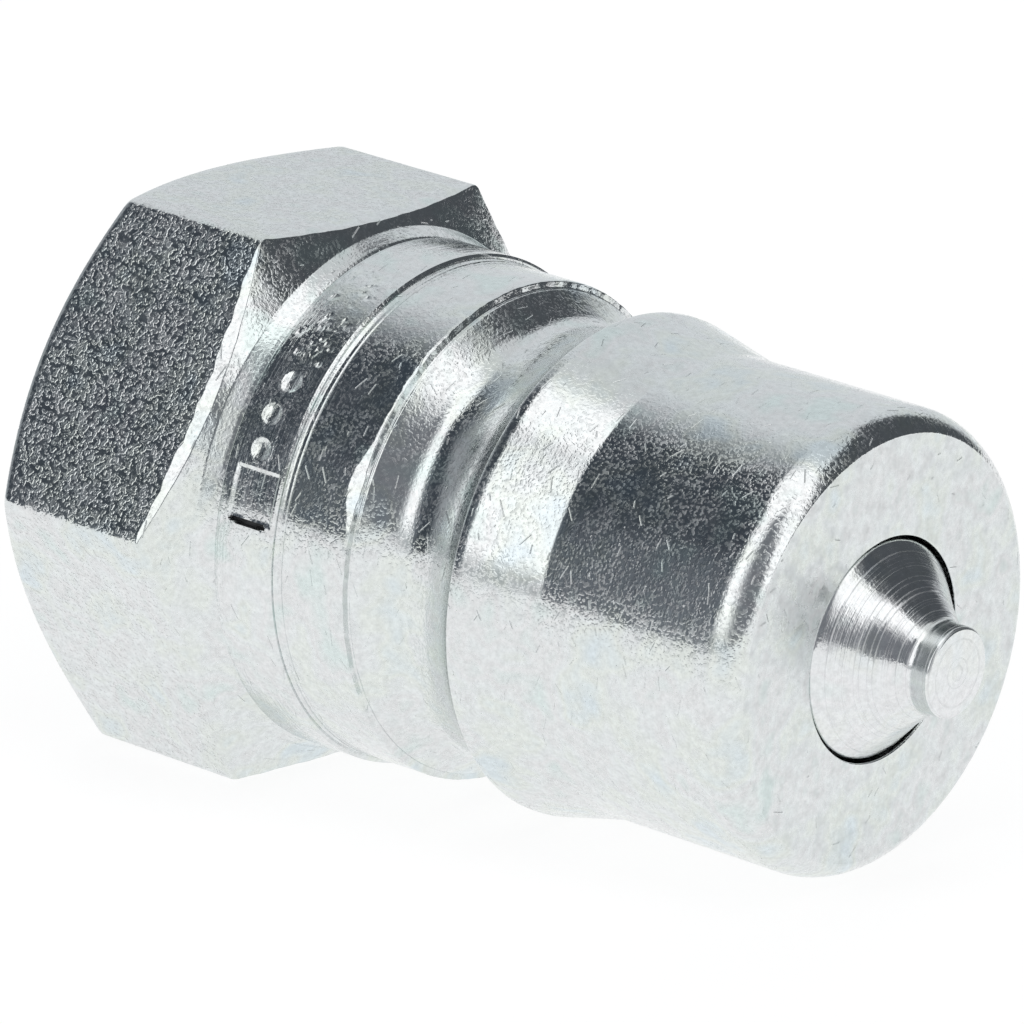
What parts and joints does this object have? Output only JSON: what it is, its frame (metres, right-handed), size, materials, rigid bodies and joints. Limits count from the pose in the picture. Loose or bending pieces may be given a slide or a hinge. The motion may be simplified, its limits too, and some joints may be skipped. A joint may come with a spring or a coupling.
{
  "type": "hydraulic quick-coupling nipple",
  "caption": "Male half of a hydraulic quick coupling: hexagon with a female port, ball track, locking ring and a smooth nose with a spring-loaded poppet valve.",
  "frame": {"origin": "on the axis, in the plane of the rear port face", "axes": "+X along the axis towards the nose, +Z through the middle of a hexagon flat"},
  "size_m": [0.0469, 0.031, 0.027],
  "materials": {
    "zinc_plated_steel": "clear zinc plate over turned and tumbled steel",
    "turned_steel": "turned, with fine tool marks, zinc plated",
    "spring_steel": "drawn wire, oiled",
    "phosphated_steel": "phosphated, dull",
    "seal_rubber": "matte"
  },
  "bodies": {
    "nipple": {"nipple_body": "zinc_plated_steel", "valve_guide": "turned_steel", "retaining_ring": "phosphated_steel", "valve_spring": "spring_steel"},
    "poppet": {"poppet": "turned_steel", "poppet_seal": "seal_rubber"}
  },
  "joints": [
    {"name": "poppet_slide", "type": "slide", "parent": "nipple", "child": "poppet", "axis": [-1, 0, 0], "range_m": [0, 0.006], "stiffness_N_per_m": 2600, "springref_m": -0.004, "deforming": ["valve_spring"]}
  ]
}
